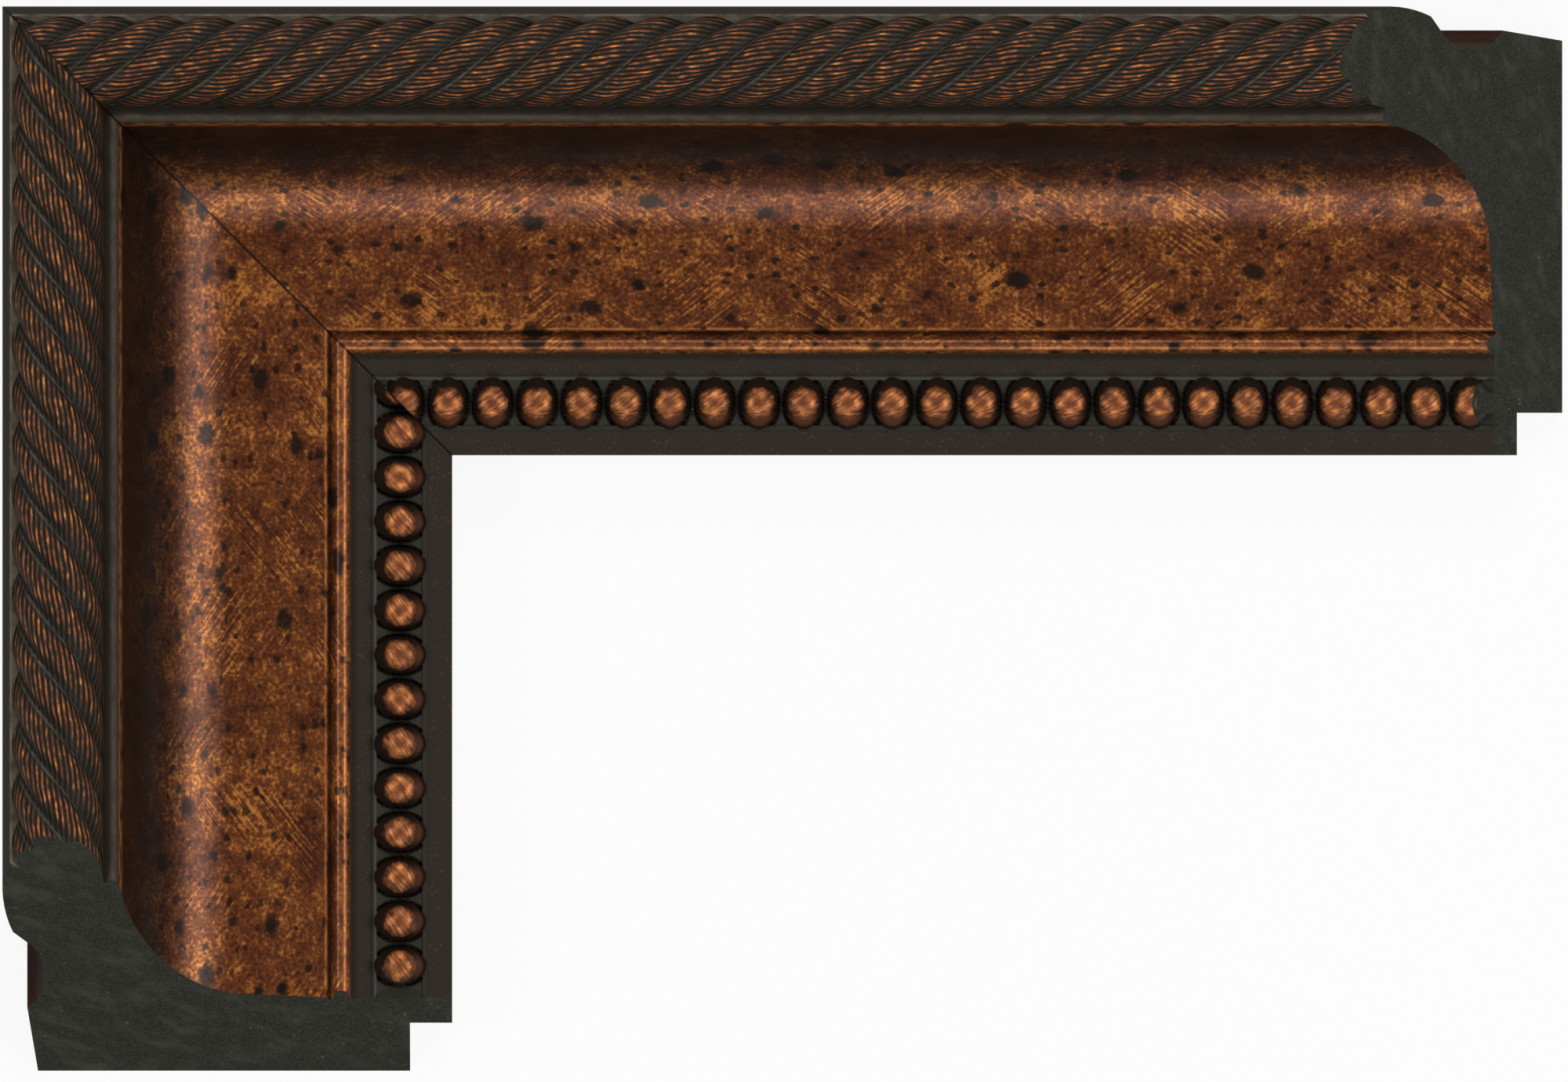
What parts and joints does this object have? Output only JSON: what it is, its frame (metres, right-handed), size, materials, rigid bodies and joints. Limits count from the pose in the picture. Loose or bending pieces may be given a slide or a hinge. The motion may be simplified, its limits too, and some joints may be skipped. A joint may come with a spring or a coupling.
{
  "type": "picture frame moulding corner sample",
  "caption": "Mitred corner of ornate picture frame moulding with a twisted rope edge, a copper cove, a beaded sight edge and a rabbet, its far ends sawn on a slope to show the section.",
  "frame": {"origin": "under the middle of the footprint, on the back of the moulding", "axes": "+X along the long rail away from the mitre, +Y from the short rail's free end towards the mitred corner, +Z out of the back towards the rope"},
  "size_m": [0.2326, 0.1588, 0.0349],
  "materials": {
    "long_rail": "rubbed copper leaf over red-brown, with black edges and specks",
    "short_rail": "rubbed copper leaf over red-brown, with black edges and specks"
  },
  "bodies": {
    "root": {"long_rail": "long_rail", "short_rail": "short_rail"}
  },
  "joints": []
}
